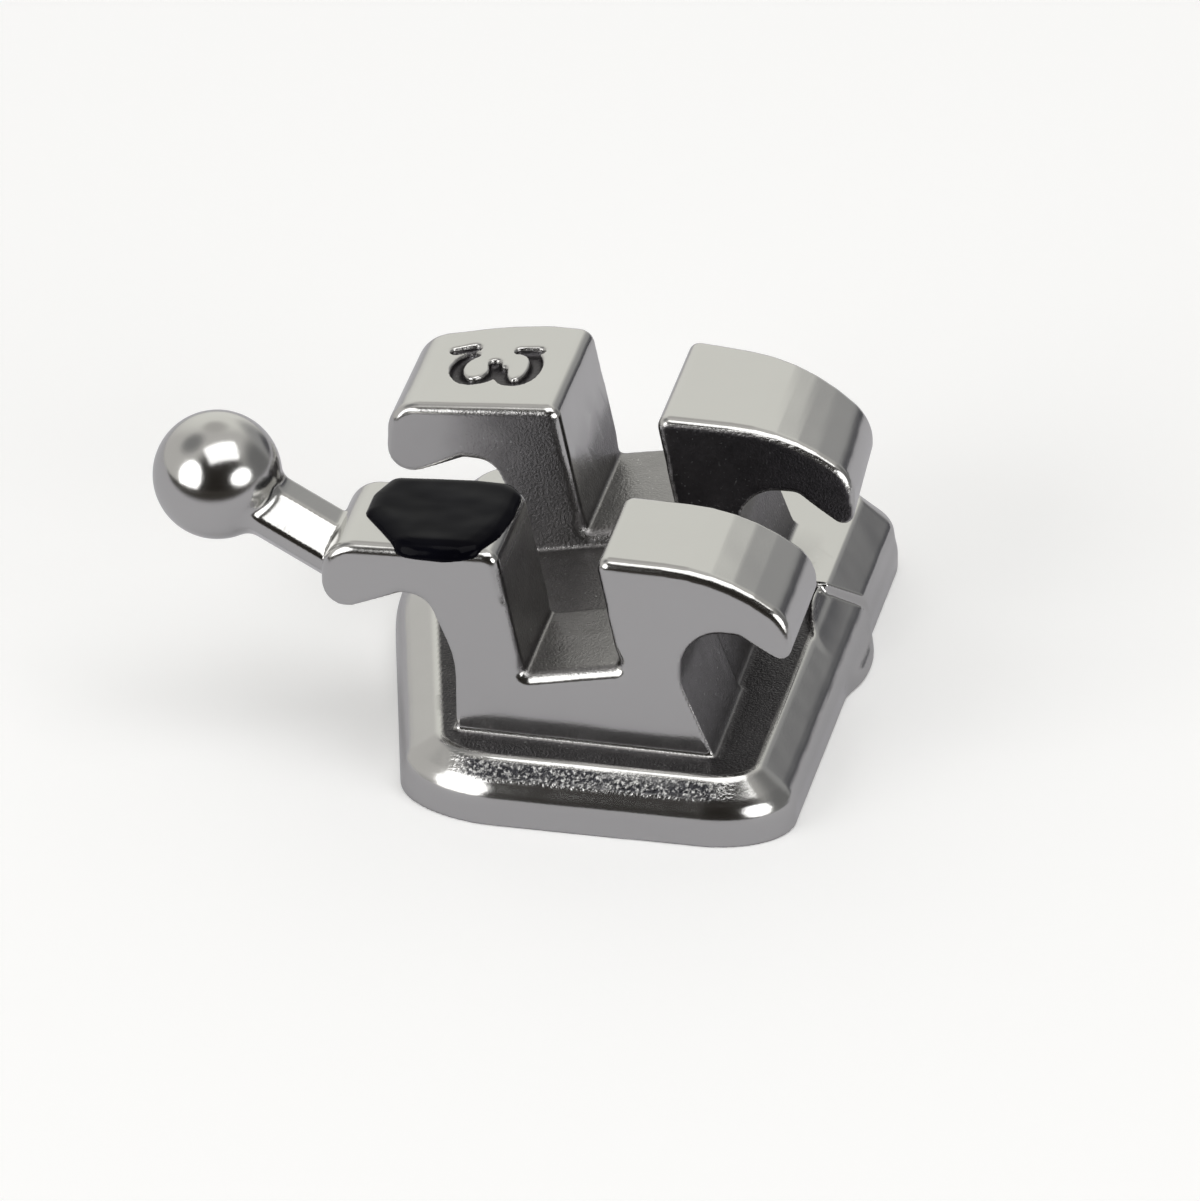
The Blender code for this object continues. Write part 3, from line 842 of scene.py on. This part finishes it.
class Graph:
    """A node tree that is filled by calls."""

    def __init__(self, tree):
        self.tree = tree

    def add(self, kind, settings, sockets):
        """One node: its settings first, then values or links for its sockets."""
        made = self.tree.nodes.new(kind)
        for name, value in settings.items():
            setattr(made, name, value)
        for name, value in sockets.items():
            if isinstance(value, Value):
                self.tree.links.new(value.socket, made.inputs[name])
            elif isinstance(value, bpy.types.NodeSocket):
                self.tree.links.new(value, made.inputs[name])
            else:
                made.inputs[name].default_value = value
        return made

    def number(self, kind, settings, sockets, output=0):
        """One node, and one of its outputs as a value to calculate with."""
        return Value(self, self.add(kind, settings, sockets).outputs[output])

    def smooth(self, value, low, high):
        """0 below low, 1 above high, and a smooth step between."""
        settings = {"interpolation_type": "SMOOTHSTEP"}
        return self.number("ShaderNodeMapRange", settings, {0: value, 1: low, 2: high})

    def mix(self, factor, first, second):
        """A colour between two colours."""
        made = self.add("ShaderNodeMix", {"data_type": "RGBA"}, {0: factor, 6: first, 7: second})
        return made.outputs[2]


def new_material(name):
    """A material with an empty tree and its Principled shader."""
    made = bpy.data.materials.new(name)
    made.use_nodes = True
    graph = Graph(made.node_tree)
    shader = made.node_tree.nodes["Principled BSDF"]
    return made, graph, shader


# %% [markdown]
# ## Tumbled steel
# Tumbling with small media polishes the faces it can reach and leaves the recesses with the
# grain of the sintered powder. The mask made above sets how rough the metal is and how deep
# the grain, and it darkens the metal's colour as painted shade in the recesses, down to near
# black in the most sheltered places.

# %% Steel
GRAINS_PER_METRE = 60_000
SPECKS_PER_METRE = 50_000
PATCHES_PER_METRE = 9_000
WAVES_PER_METRE = 2_600
POLISHED = (0.60, 0.595, 0.58, 1)
# The next four colours paint shade into the sheltered steel: a dark and a paler mottle, specks
# near the steel's own colour, and near black for the deepest places
RECESS_SHADE_DARK = (0.07, 0.066, 0.068, 1)
RECESS_SHADE_PALE = (0.20, 0.19, 0.195, 1)
SPARKLE = (0.50, 0.50, 0.50, 1)
DEEPEST_SHADE = (0.03, 0.03, 0.034, 1)
MOULDED_DARK = (0.04, 0.04, 0.045, 1)

steel, graph, shader = new_material("tumbled_steel")
place = graph.add("ShaderNodeTexCoord", {}, {}).outputs["Object"]
steel_shade_grain = graph.number("ShaderNodeAttribute", {"attribute_name": "shade_and_grain"}, {}, "Fac")
moulded = graph.number("ShaderNodeAttribute", {"attribute_name": "as_moulded"}, {}, "Fac")


def noise(scale, detail):
    """Soft noise over the piece, at a number of waves per metre."""
    sockets = {"Vector": place, "Scale": scale, "Detail": detail, "Roughness": 0.6}
    return graph.number("ShaderNodeTexNoise", {}, sockets)


grain = noise(GRAINS_PER_METRE, 2.0)
specks = noise(SPECKS_PER_METRE, 1.5)
waves = noise(WAVES_PER_METRE, 1.0)
patches = noise(PATCHES_PER_METRE, 2.0)
roughness = 0.16 + 0.17 * steel_shade_grain + 0.14 * moulded + 0.05 * (waves - 0.5)
# Painted shade: the steel's colour darkens with the mask, mottled and specked, and goes near
# black where the mask is highest
dark = graph.mix(patches, RECESS_SHADE_DARK, RECESS_SHADE_PALE)
dark = graph.mix(graph.smooth(specks, 0.66, 0.78), dark, SPARKLE)
tone = graph.mix(steel_shade_grain, POLISHED, dark)
tone = graph.mix(graph.smooth(steel_shade_grain, 0.88, 1.0) * 0.5, tone, DEEPEST_SHADE)
tone = graph.mix(moulded * (1 - graph.smooth(specks, 0.44, 0.76)), tone, MOULDED_DARK)
height = grain * (0.03 + 0.45 * steel_shade_grain) + 1.1 * specks * moulded + 0.6 * waves
bump = graph.add(
    "ShaderNodeBump", {}, {"Height": height, "Distance": 0.010 * MM, "Strength": 1.0}
)
graph.tree.links.new(tone, shader.inputs["Base Color"])
graph.tree.links.new(roughness.socket, shader.inputs["Roughness"])
graph.tree.links.new(bump.outputs[0], shader.inputs["Normal"])
shader.inputs["Metallic"].default_value = 1.0
casting.data.materials.append(steel)

# %% Enamel
RIPPLES_PER_METRE = 3_500
ENAMEL_DARK = (0.001, 0.001, 0.002, 1)
ENAMEL_PALE = (0.004, 0.004, 0.007, 1)
# Lower than real enamel's, so that the drop's top stays as black as in the photograph
ENAMEL_IOR = 1.13

enamel, graph, shader = new_material("black_enamel_gloss")
place = graph.add("ShaderNodeTexCoord", {}, {}).outputs["Object"]
sockets = {"Vector": place, "Scale": RIPPLES_PER_METRE, "Detail": 1.0}
ripple = graph.number("ShaderNodeTexNoise", {}, sockets)
bump = graph.add("ShaderNodeBump", {}, {"Height": ripple, "Distance": 0.02 * MM})
tone = graph.mix(ripple, ENAMEL_DARK, ENAMEL_PALE)
graph.tree.links.new(tone, shader.inputs["Base Color"])
graph.tree.links.new((0.10 + 0.08 * ripple).socket, shader.inputs["Roughness"])
graph.tree.links.new(bump.outputs[0], shader.inputs["Normal"])
shader.inputs["IOR"].default_value = ENAMEL_IOR
enamel_mark.data.materials.append(enamel)

# %% Put the pieces on the frame
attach(casting, "root")
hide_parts("bracket")
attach(enamel_mark, "root")
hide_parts("id_mark")

# %% [markdown]
# ## Floor, lights and surroundings
# Polished metal shows its surroundings, so these follow what the metal in the photograph
# shows: pale walls, a dark side behind the camera, and three soft lights, whose places can be
# read off the ball. Light Path's Is Camera Ray lets the camera see white paper and a white
# backdrop, while the metal sees a greyer floor and these walls.

# %% Floor
FLOOR_HALF = 0.5
SEEN_PAPER = (0.93, 0.93, 0.93, 1)
SEEN_GLOW = (0.14, 0.14, 0.14, 1)
# Seen in reflections the paper is grey, painted shade on the floor round the bracket, and it goes
# dark farther in front
SHADED_NEAR_PAPER = (0.60, 0.595, 0.63, 1)
FAR_PAPER = (0.05, 0.045, 0.04, 1)
# Distances in front of the origin between which the paper darkens
PAPER_FADE = (4.5 * MM, 7.0 * MM)
corner_signs = np.array([(-1, -1, 0), (1, -1, 0), (1, 1, 0), (-1, 1, 0)])
floor = mesh_object("floor", corner_signs * (FLOOR_HALF / MM), np.array([(0, 1, 2, 3)]))
paper, graph, shader = new_material("white_paper")
rays = graph.add("ShaderNodeLightPath", {}, {})
seen = Value(graph, rays.outputs["Is Camera Ray"])
place = graph.add("ShaderNodeTexCoord", {}, {}).outputs["Object"]
forward = graph.number("ShaderNodeSeparateXYZ", {}, {0: place}, 1)
far_front = graph.smooth(-1 * forward, *PAPER_FADE)
tone = graph.mix(far_front, SHADED_NEAR_PAPER, FAR_PAPER)
tone = graph.mix(seen, tone, SEEN_PAPER)
glow = graph.mix(seen, (0, 0, 0, 1), SEEN_GLOW)
graph.tree.links.new(tone, shader.inputs["Base Color"])
graph.tree.links.new(glow, shader.inputs["Emission Color"])
shader.inputs["Emission Strength"].default_value = 1.0
shader.inputs["Roughness"].default_value = 1.0
shader.inputs["Specular IOR Level"].default_value = 0.0
floor.data.materials.append(paper)

# %% Surroundings
def direction(azimuth, elevation):
    """A unit vector: azimuth from +Y towards +X, elevation from level, in degrees."""
    a, e = radians(azimuth), radians(elevation)
    return (sin(a) * cos(e), cos(a) * cos(e), sin(e))


world = bpy.data.worlds.new("studio")
bpy.context.scene.world = world
world.use_nodes = True
graph = Graph(world.node_tree)
backdrop = world.node_tree.nodes["Background"]
gaze = graph.add("ShaderNodeTexCoord", {}, {}).outputs["Generated"]


def facing(azimuth, elevation, narrow, wide):
    """1 towards a direction, falling to 0 between two angles from it, in degrees."""
    sockets = {0: gaze, 1: direction(azimuth, elevation)}
    aligned = graph.number("ShaderNodeVectorMath", {"operation": "DOT_PRODUCT"}, sockets, "Value")
    return graph.smooth(aligned, cos(radians(wide)), cos(radians(narrow)))


WALLS = (0.64, 0.63, 0.61, 1)
SEEN_BACKDROP = (1, 1, 1, 1)
# Azimuth, elevation, where it starts to fade, where it ends, and its colour
PATCHES = [
    (-12, 30, 12, 45, (0.92, 0.92, 0.87, 1)),
    (-17, 56, 4, 20, (0.55, 0.54, 0.52, 1)),
    (-90, 52, 6, 24, (0.27, 0.27, 0.27, 1)),
    (74, 14, 16, 44, (0.20, 0.20, 0.20, 1)),
    (30, 15, 3, 30, (0.38, 0.38, 0.38, 1)),
    (31, 0, 3, 18, (0.09, 0.09, 0.10, 1)),
    (162, 20, 36, 62, (0.022, 0.019, 0.016, 1)),
]
surround = WALLS
for azimuth, elevation, narrow, wide, colour in PATCHES:
    surround = graph.mix(facing(azimuth, elevation, narrow, wide), surround, colour)
rays = graph.add("ShaderNodeLightPath", {}, {})
surround = graph.mix(Value(graph, rays.outputs["Is Camera Ray"]), surround, SEEN_BACKDROP)
graph.tree.links.new(surround, backdrop.inputs["Color"])
backdrop.inputs["Strength"].default_value = 1.0


# %% Lights
LAMP_DISTANCE = 0.2


def soft_light(name, shape, azimuth, elevation, half_wide, half_high, radiance):
    """A lamp with these half angles, in degrees. Its power is the radiance times pi times the
    area of the oval that the half angles span, also for the rectangle."""
    wide = LAMP_DISTANCE * tan(radians(half_wide))
    high = LAMP_DISTANCE * tan(radians(half_high))
    data = bpy.data.lights.new(name, "AREA")
    data.shape = shape
    data.size = 2 * wide
    data.size_y = 2 * high
    data.energy = radiance * np.pi * np.pi * wide * high
    lamp = bpy.data.objects.new(name, data)
    bpy.context.scene.collection.objects.link(lamp)
    towards_lamp = Vector(direction(azimuth, elevation))
    lamp.location = towards_lamp * LAMP_DISTANCE
    lamp.rotation_euler = towards_lamp.to_track_quat("Z", "Y").to_euler()
    return lamp


soft_light("top_light", "RECTANGLE", 146, 68, 26, 17, 2.3)
soft_light("left_light", "ELLIPSE", -141, 17, 21, 24, 2.6)
soft_light("right_light", "ELLIPSE", 122, 17, 20, 15, 2.6)

# %% Picture settings
bpy.context.scene.view_settings.view_transform = "Standard"
